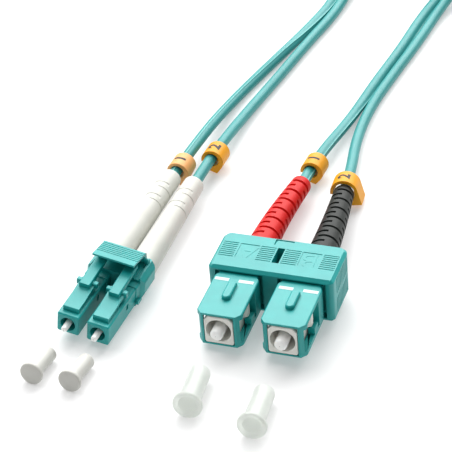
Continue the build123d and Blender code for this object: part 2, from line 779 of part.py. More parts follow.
LC_REACH = LC_BOOT[1] - LC_BOOT[0]
SC_REACH = SC_BOOT[1] - SC_BOOT[0]
LEGS = {
    "lc_1": (lc_boots["1"], LC_REACH),
    "lc_2": (lc_boots["2"], LC_REACH),
    "sc_1": (sc_boots["1"], SC_REACH),
    "sc_2": (sc_boots["2"], SC_REACH),
}
leg_points = {key: cable_points(key, *LEGS[key]) for key in LEGS}
lengths = {key: cable(f"cable_{key}", leg_points[key]) for key in LEGS}
for key in LEGS:
    placed = [point - Vector(*ORIGIN, 0) for point in leg_points[key]]
    print(key, [tuple(round(value, 2) for value in point) for point in placed])
turns = 2 * COIL_LAYERS - 0.5
coil_length = turns * 2 * pi * COIL_MID_R
for number in ("1", "2"):
    whole = lengths[f"lc_{number}"] + lengths[f"sc_{number}"] + coil_length
    print(f"cord {number}: {whole:.0f} mm, of which {coil_length:.0f} in the coil")

# the coil: the closed outer shape of all the turns of both legs
bundle = COIL_LAYERS * STRAND_PITCH + 0.1
with BuildPart() as cable_coil:
    ring_plane = Plane((COIL_CENTRE[0], COIL_CENTRE[1], 0), x_dir=(1, 0, 0), z_dir=(0, -1, 0))
    with BuildSketch(ring_plane) as bundle_section:
        with Locations((COIL_MID_R, COIL_BASE + bundle / 2)):
            Rectangle(bundle, bundle)
        fillet(bundle_section.vertices(), radius=CABLE_R)
    revolve(axis=Axis((COIL_CENTRE[0], COIL_CENTRE[1], 0), (0, 0, 1)))
save(cable_coil, "cable_coil")

# the tie: a hook-and-loop strap round the bundle, on the far side of the coil
TIE_WIDTH, TIE_THICKNESS = 7.0, 0.55
with BuildPart() as coil_tie:
    tie_plane = Plane((COIL_CENTRE[0], COIL_CENTRE[1], 0), x_dir=(0, 1, 0), z_dir=(1, 0, 0))
    middle = (COIL_MID_R - 0.35, COIL_BASE + bundle / 2)
    inside = (bundle + 0.9, bundle + 0.1)
    with BuildSketch(tie_plane) as strap:
        with Locations(middle):
            Rectangle(inside[0] + 2 * TIE_THICKNESS, inside[1] + 2 * TIE_THICKNESS)
        fillet(strap.vertices(), radius=1.4)
    extrude(amount=TIE_WIDTH / 2, both=True)
    with BuildSketch(tie_plane) as opening:
        with Locations(middle):
            Rectangle(*inside)
        fillet(opening.vertices(), radius=0.9)
    extrude(amount=TIE_WIDTH, both=True, mode=Mode.SUBTRACT)
save(coil_tie, "coil_tie")

# ---------------------------------------------------------------- cable markers


def marker(name, middle, drop, bore_r, outer_r, foot, gap, bore_shift=0.0):
    """A snap-on number ring round a leg: open on its lower left, with a pointed foot.

    middle is a plane across the leg, facing its connector, and drop is how far the ring
    hangs off the leg's axis, across and down. foot is the way to the tip and how far it
    reaches, and gap is the opening's two ends. The bore may lie off the ring's middle,
    away from the foot, so that the foot is thick.
    """
    foot_way, gap_start, gap_end = radians(foot[0]), radians(gap[0]), radians(gap[1])
    gap_middle = (gap_start + gap_end) / 2
    reach = outer_r + 3
    spread = acos(outer_r / foot[1])
    shift = (-bore_shift * cos(foot_way), -bore_shift * sin(foot_way))
    centre = middle.origin + middle.x_dir * drop[0] - middle.y_dir * drop[1]
    face = Plane(centre, x_dir=middle.x_dir, z_dir=middle.z_dir).offset(MARKER_LENGTH / 2)
    with BuildPart() as ring:
        with BuildSketch(face):
            Circle(outer_r)
            with BuildLine():
                Polyline(
                    (0, 0),
                    (outer_r * cos(foot_way - spread), outer_r * sin(foot_way - spread)),
                    (foot[1] * cos(foot_way), foot[1] * sin(foot_way)),
                    (outer_r * cos(foot_way + spread), outer_r * sin(foot_way + spread)),
                    close=True,
                )
            make_face()
            with Locations(shift):
                Circle(bore_r, mode=Mode.SUBTRACT)
            with BuildLine():
                Polyline(
                    (0, 0),
                    (reach * cos(gap_start), reach * sin(gap_start)),
                    (reach * cos(gap_middle), reach * sin(gap_middle)),
                    (reach * cos(gap_end), reach * sin(gap_end)),
                    close=True,
                )
            make_face(mode=Mode.SUBTRACT)
        extrude(amount=-MARKER_LENGTH)
    save(ring, name)


def across_run(key, run, along=0.0):
    """A plane across a straight run of a leg, that far past its middle, facing back."""
    before, after = leg_points[key][run], leg_points[key][run + 1]
    back = (before - after).normalized()
    middle = (before + after) / 2 - back * along
    return Plane(origin=middle, x_dir=Vector(0, 0, 1).cross(back), z_dir=back)


CORD_RING_GAP = (192, 250)
marker(
    "lc_marker_1", across_run("lc_1", 0, -0.2), (0.4, 0.35), 1.5, 2.5, (292, 3.5),
    CORD_RING_GAP, bore_shift=0.3,
)
marker(
    "lc_marker_2", across_run("lc_2", 1, 1.2), (0.4, 0.35), 1.5, 2.5, (292, 3.1),
    CORD_RING_GAP, bore_shift=0.3,
)
marker(
    "sc_marker_1", across_run("sc_1", 1), (0.4, 0.15), 1.5, 2.5, (292, 2.95),
    CORD_RING_GAP, bore_shift=0.3,
)
# the fourth ring holds the end of the black boot
boot_end = sc_boots["2"].offset(-SC_REACH - MARKER_LENGTH / 2 + 0.4)
marker("sc_marker_2", boot_end, (0.0, -0.08), 2.25, 2.95, (327, 4.6), (190, 275))


# ---------------------------------------------------------------- dust caps
def dust_cap(name, place, yaw, length, flange_r, tube_r, bore_r, depth):
    """A dust cap on its side: it rests on its flange's rim and on its open end."""
    tilt = degrees(atan2(flange_r - tube_r, length - CAP_FLANGE - 0.1))
    along = Vector(sin(radians(-yaw)) * -1, cos(radians(yaw)), 0)
    rear = along * cos(radians(tilt)) - Vector(0, 0, 1) * sin(radians(tilt))
    height = flange_r * cos(radians(tilt)) + (CAP_FLANGE - 0.2) * sin(radians(tilt))
    origin = Vector(place[0], place[1], height)
    turned = Plane(origin, x_dir=rear.cross(Vector(0, 0, 1)), z_dir=rear)
    half_section = Plane(origin, x_dir=turned.x_dir, z_dir=turned.x_dir.cross(rear))
    with BuildPart() as cap:
        with BuildSketch(half_section):
            with BuildLine():
                Polyline(
                    (0, 0),
                    (flange_r - 0.2, 0),
                    (flange_r, 0.2),
                    (flange_r, CAP_FLANGE - 0.2),
                    (flange_r - 0.2, CAP_FLANGE),
                    (tube_r, CAP_FLANGE),
                    (tube_r, length - 0.3),
                    (tube_r - 0.3, length),
                    (bore_r, length),
                    (bore_r, length - depth),
                    (0, length - depth),
                    close=True,
                )
            make_face()
        revolve(axis=Axis(origin, rear))
    save(cap, name)


for family, caps, spec in (("lc", LC_CAPS, LC_CAP), ("sc", SC_CAPS, SC_CAP)):
    for number, (place, yaw) in zip(("1", "2"), caps):
        dust_cap(
            f"{family}_dust_cap_{number}", place, yaw, CAP_LENGTHS[family], **spec
        )

# ---------------------------------------------------------------- cable ends
def cable_end(name, head, x, base, boot_length, fibre_start, jacket_start):
    """The stripped end in a boot: the jacket stops at the crimp, the fibre goes on."""
    with BuildPart() as end:
        with BuildSketch(base.offset(-jacket_start)):
            Circle(CABLE_R)
        extrude(amount=jacket_start - boot_length + BOOT_GRIP)
        with BuildSketch(section(head, x, fibre_start)):
            Circle(BUFFER_R)
        fibre_end = head.to_local_coords(base.origin).Y + jacket_start + 1
        extrude(amount=fibre_start - fibre_end)
    save(end, name)


for number, x in (("1", -LC_PITCH / 2), ("2", LC_PITCH / 2)):
    cable_end(f"lc_cable_end_{number}", LC, x, lc_boots[number], LC_REACH, 8.6 + LC_FLOAT, 4.2)
for number, x in SC_SIDES:
    cable_end(f"sc_cable_end_{number}", SC, x, sc_boots[number], SC_REACH, 12.4 + SC_FLOAT, 2.9)
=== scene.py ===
"""Duplex LC to SC fibre patch cord, seen from the front right and above.

Metres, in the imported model's own frame: +Z up, +Y from the SC plugs towards the cable.
Lengths written as mm(...) are millimetres.
"""

import json
import math

import bmesh
import bpy
from mathutils import Matrix, Vector

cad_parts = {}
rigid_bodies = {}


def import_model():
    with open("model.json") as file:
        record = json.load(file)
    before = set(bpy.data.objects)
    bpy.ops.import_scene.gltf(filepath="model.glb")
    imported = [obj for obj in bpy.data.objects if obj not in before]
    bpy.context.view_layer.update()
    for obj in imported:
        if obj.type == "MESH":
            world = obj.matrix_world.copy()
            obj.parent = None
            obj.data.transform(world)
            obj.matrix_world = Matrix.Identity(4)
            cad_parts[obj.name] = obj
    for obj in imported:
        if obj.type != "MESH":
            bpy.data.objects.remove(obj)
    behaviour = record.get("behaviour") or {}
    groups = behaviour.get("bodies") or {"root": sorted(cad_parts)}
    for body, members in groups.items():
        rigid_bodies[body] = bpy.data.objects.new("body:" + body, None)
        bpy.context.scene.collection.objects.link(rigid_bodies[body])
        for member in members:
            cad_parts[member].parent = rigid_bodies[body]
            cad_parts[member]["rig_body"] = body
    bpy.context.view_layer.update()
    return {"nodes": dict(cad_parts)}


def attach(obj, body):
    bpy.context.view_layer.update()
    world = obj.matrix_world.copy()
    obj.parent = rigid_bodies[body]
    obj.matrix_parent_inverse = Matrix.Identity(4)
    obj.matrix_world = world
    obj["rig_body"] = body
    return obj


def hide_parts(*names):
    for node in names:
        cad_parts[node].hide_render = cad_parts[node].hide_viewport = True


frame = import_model()


def mm(*values):
    """Millimetres to metres: one number, or a vector of three."""
    scaled = [value / 1000 for value in values]
    return scaled[0] if len(scaled) == 1 else Vector(scaled)


# ---------------------------------------------------------------- camera
LENS, SENSOR = 159.3, 36.0
camera = bpy.data.objects.new("camera", bpy.data.cameras.new("camera"))
camera.data.lens = LENS
camera.data.sensor_width = SENSOR
camera.data.clip_start = 0.01
camera.data.clip_end = 10
camera.location = mm(98.47, -290.39, 252.45)
look_at = mm(-4.24, 22.15, 0)
camera.rotation_euler = (look_at - camera.location).to_track_quat("-Z", "Y").to_euler()
bpy.context.scene.collection.objects.link(camera)
bpy.context.scene.camera = camera


# ---------------------------------------------------------------- material helpers
def srgb(text):
    """A colour like "90E0DC" as linear RGBA."""
    channels = [int(text[i : i + 2], 16) / 255 for i in (0, 2, 4)]
    linear = [c / 12.92 if c <= 0.04045 else ((c + 0.055) / 1.055) ** 2.4 for c in channels]
    return (*linear, 1.0)


class Nodes:
    """A small builder for node trees, so that each material reads as a recipe."""

    def __init__(self, name):
        self.material = bpy.data.materials.new(name)
        self.material.use_nodes = True
        self.tree = self.material.node_tree
        self.shader = self.tree.nodes["Principled BSDF"]

    def new(self, kind, **inputs):
        """A node of this type. Inputs are given by socket name, with _ for a space."""
        node = self.tree.nodes.new(kind)
        for key, value in inputs.items():
            socket = key.replace("_", " ")
            if socket in node.inputs:
                node.inputs[socket].default_value = value
            else:
                setattr(node, key, value)
        return node

    def link(self, source, target):
        self.tree.links.new(source, target)

    def noise(self, scale, detail=3.0, roughness=0.5, stretch=None):
        """A noise texture in the object's own space, per metre, maybe stretched."""
        where = self.new("ShaderNodeTexCoord").outputs["Object"]
        if stretch:
            mapping = self.new("ShaderNodeMapping")
            mapping.inputs["Scale"].default_value = stretch
            self.link(where, mapping.inputs["Vector"])
            where = mapping.outputs["Vector"]
        node = self.new("ShaderNodeTexNoise", Scale=scale, Detail=detail, Roughness=roughness)
        self.link(where, node.inputs["Vector"])
        return node.outputs["Fac"]

    def ramp(self, source, stops):
        """A colour ramp from (position, colour) pairs."""
        node = self.new("ShaderNodeValToRGB")
        elements = node.color_ramp.elements
        while len(elements) < len(stops):
            elements.new(0.5)
        for element, (position, colour) in zip(elements, stops):
            element.position = position
            element.color = colour
        self.link(source, node.inputs["Fac"])
        return node.outputs["Color"]

    def grey(self, source, low, high):
        """The source's 0 to 1 turned into low to high."""
        node = self.new("ShaderNodeMapRange", To_Min=low, To_Max=high)
        self.link(source, node.inputs["Value"])
        return node.outputs["Result"]

    def bump(self, source, distance, strength=1.0):
        """A bump of that height in metres, on the shader's normal."""
        node = self.new("ShaderNodeBump", Strength=strength, Distance=distance)
        self.link(source, node.inputs["Height"])
        self.link(node.outputs["Normal"], self.shader.inputs["Normal"])

    def set(self, **inputs):
        for key, value in inputs.items():
            self.shader.inputs[key.replace("_", " ")].default_value = value


AQUA, AQUA_SHADE = "0A9B98", "069290"


def plastic(name, colour, shade, roughness=0.38, soft=0.0, grain=2.0e-6, specular=0.5):
    """Moulded plastic: a colour that drifts to a slightly deeper shade, and fine grain."""
    m = Nodes(name)
    drift = m.noise(260, detail=2)
    blend = m.ramp(drift, [(0.32, srgb(colour)), (0.75, srgb(shade))])
    m.link(blend, m.shader.inputs["Base Color"])
    fine = m.noise(7000, detail=4, roughness=0.65)
    m.link(m.grey(fine, roughness - 0.06, roughness + 0.09), m.shader.inputs["Roughness"])
    m.bump(fine, grain)
    m.set(Specular_IOR_Level=specular)
    if soft:
        m.set(Subsurface_Weight=soft, Subsurface_Radius=(1.0, 0.95, 0.9), Subsurface_Scale=0.0008)
    return m.material


def metal(name, colour, roughness, brushed):
    """Turned or plated metal, with fine marks along one way."""
    m = Nodes(name)
    lines = m.noise(2500, detail=3, stretch=brushed)
    blend = m.ramp(lines, [(0.3, srgb(colour)), (0.8, srgb("FFFFFF"))])
    m.link(blend, m.shader.inputs["Base Color"])
    m.link(m.grey(lines, roughness - 0.08, roughness + 0.12), m.shader.inputs["Roughness"])
    m.bump(lines, 3e-6)
    m.set(Metallic=1.0)
    return m.material


def milky(name, colour, shade):
    """Translucent moulded polyethylene: cloudy, and brighter where it is thin, with a faint painted
    glow of its own all over.
    """
    m = Nodes(name)
    cloud = m.noise(420, detail=3)
    m.link(m.ramp(cloud, [(0.3, srgb(colour)), (0.75, srgb(shade))]), m.shader.inputs["Base Color"])
    fine = m.noise(5000, detail=4, roughness=0.6)
    m.link(m.grey(fine, 0.3, 0.46), m.shader.inputs["Roughness"])
    m.bump(fine, 2e-6)
    m.set(
        Transmission_Weight=0.65,
        IOR=1.45,
        Subsurface_Weight=0.4,
        Subsurface_Radius=(1.0, 1.0, 0.95),
        Subsurface_Scale=0.0016,
        Specular_IOR_Level=0.5,
        # painted glow: a faint white emission that brightens the whole cap as if lit through
        Emission_Color=srgb("F2F5F1"),
        Emission_Strength=0.12,
    )
    return m.material


def fabric(name, colour, shade):
    """Hook-and-loop strap: a nap of short loops in rows."""
    m = Nodes(name)
    nap = m.noise(3800, detail=5, roughness=0.75)
    m.link(m.ramp(nap, [(0.35, srgb(colour)), (0.7, srgb(shade))]), m.shader.inputs["Base Color"])
    m.bump(nap, 6e-5)
    m.set(Roughness=0.92, Sheen_Weight=0.35, Sheen_Roughness=0.5, Specular_IOR_Level=0.2)
    return m.material


def jacket(name, colour, shade, roughness):
    """Extruded jacket: faint lines along the cable and a satin skin."""
    m = Nodes(name)
    drift = m.noise(160, detail=2)
    m.link(m.ramp(drift, [(0.3, srgb(colour)), (0.75, srgb(shade))]), m.shader.inputs["Base Color"])
    fine = m.noise(5200, detail=4, roughness=0.6, stretch=(1, 0.12, 1))
    m.link(m.grey(fine, roughness - 0.07, roughness + 0.08), m.shader.inputs["Roughness"])
    m.bump(fine, 4e-6)
    m.set(Specular_IOR_Level=0.5)
    return m.material


MATERIALS = {
    "aqua_housing": plastic("aqua_housing", AQUA, AQUA_SHADE, roughness=0.42, specular=0.48),
    "aqua_jacket": jacket("aqua_jacket", "32908F", "2B8887", roughness=0.46),
    "jacket_web": jacket("jacket_web", "7CC6C2", "6CBBB7", roughness=0.5),
    "white_plastic": plastic("white_plastic", "E6E6E0", "DEDED7", roughness=0.42, soft=0.12),
    "ceramic": plastic("ceramic", "FCFCF9", "F8F8F4", roughness=0.24, soft=0.5, grain=6e-7),
    "fibre_core": plastic("fibre_core", "6E7C80", "59676B", roughness=0.1, grain=2e-7),
    "steel": metal("steel", "A9ABAE", 0.32, (1, 6, 1)),
    "brass_collar": metal("brass_collar", "B9A05A", 0.34, (6, 1, 6)),
    "white_mark": plastic("white_mark", "D5E6E4", "CEDFDD", roughness=0.46, soft=0.1),
    "white_boot": plastic(
        "white_boot", "CBCBC4", "C5C5BD", roughness=0.56, soft=0.1, specular=0.36
    ),
    "red_boot": plastic("red_boot", "CC0B06", "C40804", roughness=0.46, soft=0.05, specular=0.22),
    "black_boot": plastic("black_boot", "161C18", "111613", roughness=0.5, specular=0.32),
    "yellow_marker": plastic("yellow_marker", "E09A00", "DC9400", roughness=0.46, specular=0.35),
    "peach_marker": plastic("peach_marker", "E4A867", "E0A15E", roughness=0.46, specular=0.35),
    "marker_ink": plastic("marker_ink", "1B1917", "26231F", roughness=0.6),
    "clear_cap": milky("clear_cap", "D9DDD8", "D2D6D1"),
    "white_cap": plastic("white_cap", "C6C6C0", "C0BFB9", roughness=0.5, soft=0.25),
    "black_tie": fabric("black_tie", "101112", "2B2D2E"),
}

# ---------------------------------------------------------------- cables
CABLE_DIAMETER = mm(2.4)
COIL_CENTRE = mm(5.42, 145.61, 0)
COIL_MID_R = mm(14.3)
STRAND_PITCH = mm(2.45)
COIL_BASE = mm(0.6)
COIL_LAYERS = 4
COIL_TURNS = 7.5
POINTS_PER_TURN = 16
STEP_SHARE = 0.26  # of a turn, in which a strand moves over to its next place

# The routes of part.py: from inside the boot to the side of the coil, in millimetres.
ROUTES = {
    "lc_1": [
        (-19.05, 23.51, 4.1), (-17.79, 44.68, 4.1), (-16.73, 64.51, 1.3),
        (-12.83, 83.01, 1.2), (-9.33, 98.51, 1.2), (-6.73, 114.01, 1.2),
        (-8.43, 127.51, 1.4), (-12.31, 137.61, 1.65),
    ],
    "lc_2": [
        (-13.72, 23.18, 3.7), (-13.44, 33.78, 3.73), (-13.03, 46.01, 3.2),
        (-12.13, 61.51, 1.4), (-9.73, 78.01, 1.2), (-7.63, 93.51, 1.2),
        (-4.93, 109.01, 1.2), (-4.63, 122.01, 1.9), (-8.13, 130.51, 3.9),
        (-12.31, 137.61, 6.55),
    ],
    "sc_1": [
        (7.56, 30.94, 3.74), (7.79, 38.41, 3.18), (8.37, 49.41, 3.0),
        (10.67, 65.51, 1.8), (11.77, 81.51, 1.2), (13.87, 97.51, 1.2),
        (15.07, 113.51, 1.2), (18.37, 128.51, 2.2), (23.15, 137.61, 4.1),
    ],
    "sc_2": [
        (17.52, 30.79, 3.88), (16.38, 43.66, 2.46), (13.67, 58.51, 1.4),
        (13.27, 72.51, 1.2), (14.97, 87.51, 1.2), (16.97, 102.51, 1.2),
        (18.37, 117.51, 1.5), (21.77, 129.51, 4.6), (23.15, 137.61, 9.0),
    ],
}


def smooth(value):
    """An eased 0 to 1."""
    value = min(1.0, max(0.0, value))
    return value * value * (3 - 2 * value)


def coil_points(first_row):
    """The turns of one leg: in along one row of the bundle, and out along the next."""
    places = [(column, first_row) for column in reversed(range(COIL_LAYERS))]
    places += [(column, first_row + 1) for column in range(COIL_LAYERS)]
    points = []
    count = int(COIL_TURNS * POINTS_PER_TURN)
    for index in range(count):
        turn = (index + 0.5) / POINTS_PER_TURN
        done = turn - 0.75
        step = max(0, math.floor(done + 0.5))
        share = smooth((done - step) / STEP_SHARE + 0.5) if done > -0.5 else 0.0
        before = places[min(step, len(places) - 1)]
        after = places[min(step + 1, len(places) - 1)]
        column = before[0] + (after[0] - before[0]) * share
        row = before[1] + (after[1] - before[1]) * share
        offset = (column - (COIL_LAYERS - 1) / 2) * STRAND_PITCH
        radius = (COIL_MID_R + offset) / math.cos(math.pi / POINTS_PER_TURN)
        angle = math.pi - 2 * math.pi * turn
        height = COIL_BASE + CABLE_DIAMETER / 2 + row * STRAND_PITCH
        across = Vector((math.cos(angle), math.sin(angle), 0)) * radius
        points.append(COIL_CENTRE + across + Vector((0, 0, height)))
    return points


def spline_line(name, points):
    """The smooth line of a cord: a NURBS spline with these control points, sampled."""
    curve = bpy.data.curves.new(name, "CURVE")
    curve.dimensions = "3D"
    curve.resolution_u = 6
    spline = curve.splines.new("NURBS")
    spline.points.add(len(points) - 1)
    for place, point in zip(spline.points, points):
        place.co = (*point, 1)
    spline.order_u = 3
    spline.use_endpoint_u = True
    holder = bpy.data.objects.new(name, curve)
    bpy.context.scene.collection.objects.link(holder)
    bpy.context.view_layer.update()
    mesh = bpy.data.meshes.new_from_object(holder)
    line = [vertex.co.copy() for vertex in mesh.vertices]
    bpy.data.objects.remove(holder)
    bpy.data.curves.remove(curve)
    bpy.data.meshes.remove(mesh)
    return line


def frames_along(line):
    """At each point of a line: the point, the way along, the way right and the way up."""
    frames = []
    for index, point in enumerate(line):
        before, after = line[max(0, index - 1)], line[min(len(line) - 1, index + 1)]
        along = (after - before).normalized()
        right = along.cross(Vector((0, 0, 1))).normalized()
        frames.append((point, along, right, right.cross(along)))
    return frames


def add_object(name, mesh, body="plugs", materials=(), smooth_faces=True):
    """Link a finished mesh as a piece of the model, riding on a body."""
    piece = bpy.data.objects.new(name, mesh)
    bpy.context.scene.collection.objects.link(piece)
    for material in materials:
        mesh.materials.append(MATERIALS[material])
    if smooth_faces:
        mesh.polygons.foreach_set("use_smooth", [True] * len(mesh.polygons))
    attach(piece, body)
    return piece


SEGMENTS = 22
RIDGE_HEIGHT = mm(0.09)
RIDGE_HALF_ANGLE = math.radians(5.5)


def ridge_angle(stops, y):
    """Where the torn web stands on a jacket, from up towards the right, at this y."""
    for (y0, a0), (y1, a1) in zip(stops, stops[1:]):
        if y <= y1:
            share = min(1.0, max(0.0, (y - y0) / (y1 - y0)))
            return math.radians(a0 + (a1 - a0) * share)
    return math.radians(stops[-1][1])


def cable_mesh(name, line, ridge_at):
    """A round jacket along a line, with the thin ridge where its web was torn off."""
    bm = bmesh.new()
    rings = []
    radius = CABLE_DIAMETER / 2
    for index, (point, along, right, up) in enumerate(frames_along(line)):
        middle = ridge_at(index, point)
        profile = [
            (middle - RIDGE_HALF_ANGLE, radius),
            (middle - RIDGE_HALF_ANGLE / 2, radius + RIDGE_HEIGHT),
            (middle + RIDGE_HALF_ANGLE / 2, radius + RIDGE_HEIGHT),
            (middle + RIDGE_HALF_ANGLE, radius),
        ]
        rest = 2 * math.pi - 2 * RIDGE_HALF_ANGLE
        for step in range(1, SEGMENTS - 3):
            angle = middle + RIDGE_HALF_ANGLE + rest * step / (SEGMENTS - 3)
            profile.append((angle, radius))
        ring = [
            bm.verts.new(point + (right * math.sin(a) + up * math.cos(a)) * r)
            for a, r in profile
        ]
        rings.append(ring)
    for ring, following in zip(rings, rings[1:]):
        for i in range(len(ring)):
            j = (i + 1) % len(ring)
            face = bm.faces.new((ring[i], following[i], following[j], ring[j]))
            face.material_index = 1 if i < 3 else 0
    bm.faces.new(rings[0])
    bm.faces.new(list(reversed(rings[-1])))
    bmesh.ops.recalc_face_normals(bm, faces=bm.faces)
    mesh = bpy.data.meshes.new(name)
    bm.to_mesh(mesh)
    bm.free()
    return mesh


# y along the cord in millimetres and the ridge's angle there, from the photograph
RIDGES = {
    "1": {
        "out": [(40, -5), (48, -5), (70, 5), (89, 18), (99, 44), (109, 60), (130, 90)],
        "back": [(30, 62), (62, 54), (69, 62), (74, 76), (82, 90), (130, 90)],
    },
    "2": {"out": [(30, -100), (130, -90)], "back": [(30, -120), (130, -90)]},
}
CORDS = {}
for number, first_row in (("1", 0), ("2", 2)):
    out = [mm(*point) for point in ROUTES[f"lc_{number}"]]
    back = [mm(*point) for point in ROUTES[f"sc_{number}"]]
    line = spline_line(f"line_{number}", out + coil_points(first_row) + back[::-1])
    half = len(line) // 2

    def ridge_at(index, point, half=half, number=number):
        way = "out" if index < half else "back"
        angle = ridge_angle(RIDGES[number][way], point.y * 1000)
        return angle if way == "out" else -angle

    mesh = cable_mesh(f"cord_{number}", line, ridge_at)
    cord = add_object(
        f"cord_{number}", mesh, materials=["aqua_jacket", "jacket_web"]
    )
    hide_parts(f"cable_lc_{number}", f"cable_sc_{number}", "cable_coil")
    CORDS[number] = (cord, line, out)

# ---------------------------------------------------------------- connector frames
class Head:
    """A connector head's own frame: x across, y towards the cable, z up, in millimetres."""

    def __init__(self, origin, yaw, roll):
        turn = Matrix.Rotation(math.radians(yaw), 3, "Z") @ Matrix.Rotation(
            math.radians(roll), 3, "Y"
        )
        self.origin = mm(*origin)
        self.x, self.y, self.z = turn.col[0], turn.col[1], turn.col[2]

    def at(self, x, y, z):
        """A point of the frame in metres."""
        return self.origin + (self.x * x + self.y * y + self.z * z) / 1000


LC = Head((-18.63, -21.99, 3.867), yaw=-3.4, roll=4.2)
SC = Head((13.17, -15.99, 5.901), yaw=0.0, roll=-4.2)
LC_AXES = {"1": -3.125, "2": 3.125}
SC_AXES = {"1": -6.35, "2": 6.35}


# ---------------------------------------------------------------- CAD solids, softened
MIN_BEVELLED_AREA = mm(1.25) * mm(1.25)  # fine grooves and ribs keep their edges
BEVEL_ANGLE = math.radians(28)


def softened(node, width, material, least_area=0.0, crease=BEVEL_ANGLE):
    """A copy of a CAD solid with its sharp edges rounded, which replaces the node."""
    source = frame["nodes"][node]
    bm = bmesh.new()
    bm.from_mesh(source.data)
    bmesh.ops.remove_doubles(bm, verts=bm.verts, dist=3e-6)
    bmesh.ops.dissolve_limit(
        bm, angle_limit=math.radians(1.2), verts=bm.verts, edges=bm.edges
    )
    weights = bm.edges.layers.float.new("bevel_weight_edge")
    for edge in bm.edges:
        if len(edge.link_faces) != 2 or edge.calc_face_angle(0) < BEVEL_ANGLE:
            continue
        if min(face.calc_area() for face in edge.link_faces) >= least_area:
            edge[weights] = 1.0
    mesh = bpy.data.meshes.new(f"{node}_moulded")
    bm.to_mesh(mesh)
    bm.free()
    mesh.materials.clear()
    body = source["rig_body"]
    piece = add_object(f"{node}_moulded", mesh, body, [material])
    mesh.set_sharp_from_angle(angle=crease)
    bevel = piece.modifiers.new("rounded_edges", "BEVEL")
    bevel.width = mm(width)
    bevel.segments = 2
    bevel.limit_method = "WEIGHT"
    bevel.use_clamp_overlap = True
    bevel.miter_outer = "MITER_ARC"
    evened = piece.modifiers.new("even_shading", "WEIGHTED_NORMAL")
    evened.mode = "FACE_AREA"
    evened.weight = 100
    evened.keep_sharp = True
    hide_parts(node)
    return piece


SOFTENED = {
    "lc_clip": 0.16,
    "lc_trigger": 0.12,
    "sc_clip_top": 0.1,
    "sc_clip_bottom": 0.1,
}
for node, width in SOFTENED.items():
    softened(node, width, "aqua_housing", least_area=MIN_BEVELLED_AREA)
for number in ("1", "2"):
    softened(f"lc_housing_{number}", 0.12, "aqua_housing")
    softened(f"lc_latch_{number}", 0.12, "aqua_housing", crease=math.radians(5))
    softened(f"sc_outer_housing_{number}", 0.14, "aqua_housing")
    softened(f"sc_plug_frame_{number}", 0.14, "white_plastic")


# ---------------------------------------------------------------- turned parts
def turned(name, foot, along, profile, steps):
    """A solid of revolution: profile is (radius, distance) pairs in millimetres."""
    right = along.cross(Vector((0, 0, 1))).normalized()
    up = right.cross(along)
    bm = bmesh.new()
    rings = []
    for radius, distance in profile:
        centre = foot + along * distance / 1000
        if radius == 0:
            rings.append([bm.verts.new(centre)])
            continue
        angles = [2 * math.pi * step / steps for step in range(steps)]
        rings.append(
            [
                bm.verts.new(centre + (right * math.cos(a) + up * math.sin(a)) * radius / 1000)
                for a in angles
            ]
        )
    for ring, following in zip(rings, rings[1:]):
        for i in range(steps):
            j = (i + 1) % steps
            corners = [ring[i % len(ring)], ring[j % len(ring)]]
            corners += [following[j % len(following)], following[i % len(following)]]
            unique = [v for k, v in enumerate(corners) if v not in corners[:k]]
            if len(unique) > 2:
                bm.faces.new(unique)
    bmesh.ops.recalc_face_normals(bm, faces=bm.faces)
    mesh = bpy.data.meshes.new(name)
    bm.to_mesh(mesh)
    bm.free()
    mesh.set_sharp_from_angle(angle=math.radians(50))
    return mesh


def ferrule(name, node, head, x, radius, tip, shoulder, grip_r, rear):
    """A polished ceramic ferrule: domed end, fibre dot, thinner where its collar grips."""
    along = head.y
    dome = radius * 0.5
    profile = [(0, tip), (radius - dome, tip)]
    for step in range(1, 7):
        a = math.pi / 2 * step / 6
        profile.append((radius - dome + dome * math.sin(a), tip + dome * (1 - math.cos(a))))
    profile += [(radius, shoulder - 0.1), (radius - 0.1, shoulder), (grip_r, shoulder)]
    profile += [(grip_r, rear), (0, rear)]
    body = frame["nodes"][node]["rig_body"]
    mesh = turned(name, head.at(x, 0, 0), along, profile, steps=40)
    piece = add_object(name, mesh, body, ["ceramic"])
    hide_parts(node)
    dot = turned(
        f"{name}_fibre",
        head.at(x, 0, 0),
        along,
        [(0, tip - 0.012), (0.05, tip - 0.012), (0.0625, tip), (0.0625, tip + 0.2), (0, tip + 0.2)],
        steps=16,
    )
    add_object(f"{name}_fibre", dot, body, ["fibre_core"])


for number in ("1", "2"):
    ferrule(
        f"lc_ferrule_{number}_polished", f"lc_ferrule_{number}", LC, LC_AXES[number],
        0.625, -1.85, 4.2, 0.45, 8.6,
    )
    ferrule(
        f"sc_ferrule_{number}_polished", f"sc_ferrule_{number}", SC, SC_AXES[number],
        1.25, -1.9, 7.5, 1.05, 12.4,
    )

